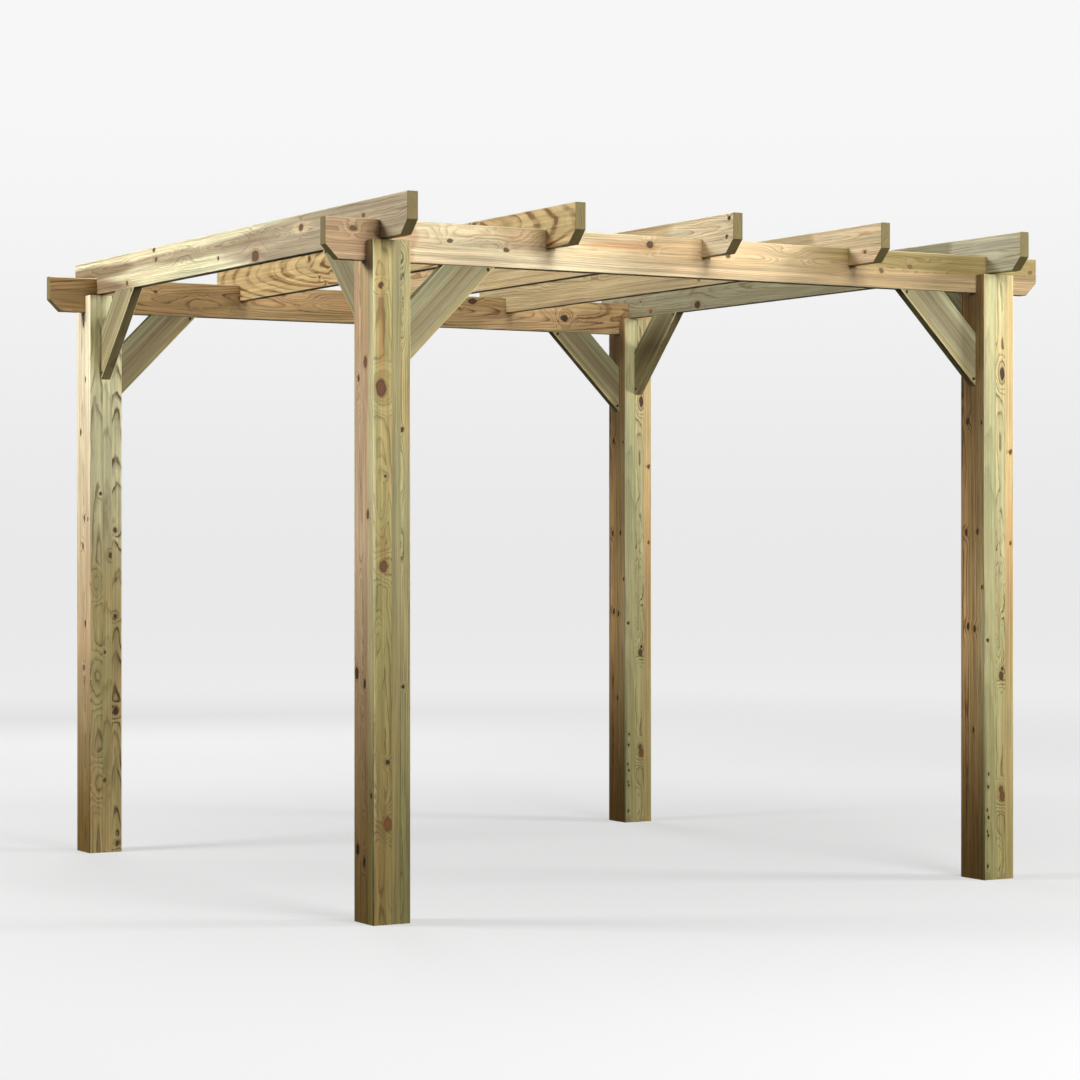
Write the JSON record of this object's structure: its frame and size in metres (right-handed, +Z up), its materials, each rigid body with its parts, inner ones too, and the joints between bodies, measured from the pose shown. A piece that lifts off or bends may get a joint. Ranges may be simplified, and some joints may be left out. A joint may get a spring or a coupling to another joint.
{
  "type": "timber pergola",
  "caption": "Free-standing open timber pergola with forked square posts, beams on edge, notched rafters and knee braces.",
  "frame": {"origin": "centre of the four posts' footprint, on the ground", "axes": "+X to the right along the beams, +Y to the back along the rafters, +Z up"},
  "size_m": [3, 3, 2.42],
  "materials": {
    "post_timber": "planed, pressure treated",
    "beam_timber": "planed, pressure treated",
    "rafter_timber": "planed, pressure treated",
    "brace_timber": "planed, pressure treated",
    "screw_steel": "dark coated, weathered"
  },
  "bodies": {
    "root": {"front_left_post": "post_timber", "front_right_post": "post_timber", "back_left_post": "post_timber", "back_right_post": "post_timber", "front_beam": "beam_timber", "back_beam": "beam_timber", "rafter_1": "rafter_timber", "rafter_2": "rafter_timber", "rafter_3": "rafter_timber", "rafter_4": "rafter_timber", "rafter_5": "rafter_timber", "front_left_beam_brace": "brace_timber", "front_right_beam_brace": "brace_timber", "back_left_beam_brace": "brace_timber", "back_right_beam_brace": "brace_timber", "front_left_rafter_brace": "brace_timber", "front_right_rafter_brace": "brace_timber", "back_left_rafter_brace": "brace_timber", "back_right_rafter_brace": "brace_timber"}
  },
  "joints": []
}
